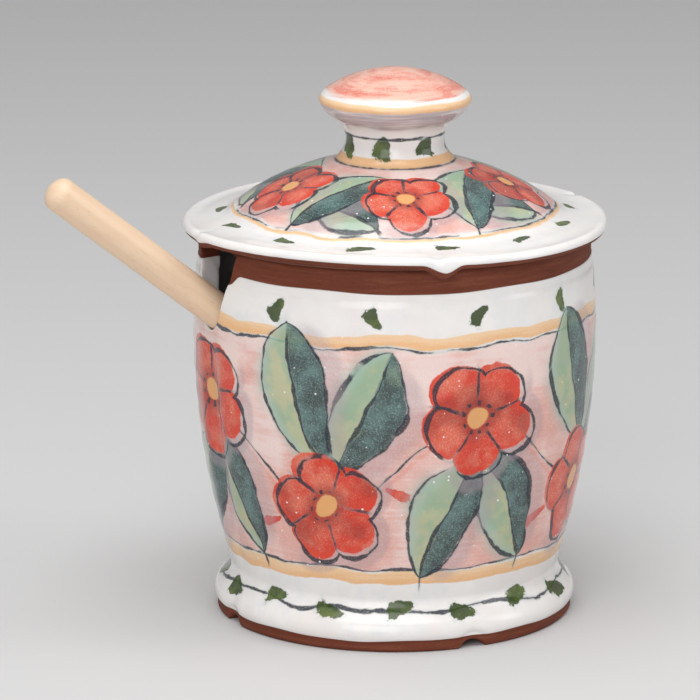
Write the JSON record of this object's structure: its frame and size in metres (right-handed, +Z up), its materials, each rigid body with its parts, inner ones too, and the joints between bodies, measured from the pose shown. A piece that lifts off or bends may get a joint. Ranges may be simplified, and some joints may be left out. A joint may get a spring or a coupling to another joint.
{
  "type": "covered honey jar with dipper",
  "caption": "Thrown earthenware honey jar with a loose overhanging lid, round knob, notched mouth and a turned wooden dipper.",
  "frame": {"origin": "middle of the jar's flat base, on the table", "axes": "+Z up through the knob; the notch in the mouth and the dipper's handle point to -X"},
  "size_m": [0.1598, 0.1172, 0.151],
  "materials": {
    "glazed_jar": "white tin glaze with painted bands, blossoms and leaves over red earthenware, bare clay at the foot and neck",
    "glazed_lid": "white tin glaze with a painted cone and a coral knob, bare clay on the seat",
    "pale_wood": "sanded, unvarnished"
  },
  "bodies": {
    "jar": {"jar": "glazed_jar"},
    "lid": {"lid": "glazed_lid"},
    "dipper": {"dipper": "pale_wood"}
  },
  "joints": [
    {"name": "lid_lift", "type": "slide", "parent": "jar", "child": "lid", "axis": [0, 0, 1], "range_m": [0, 0.08]},
    {"name": "dipper_slide", "type": "slide", "parent": "jar", "child": "dipper", "axis": [-0.7826, 0, 0.6225], "range_m": [0, 0.045]}
  ]
}
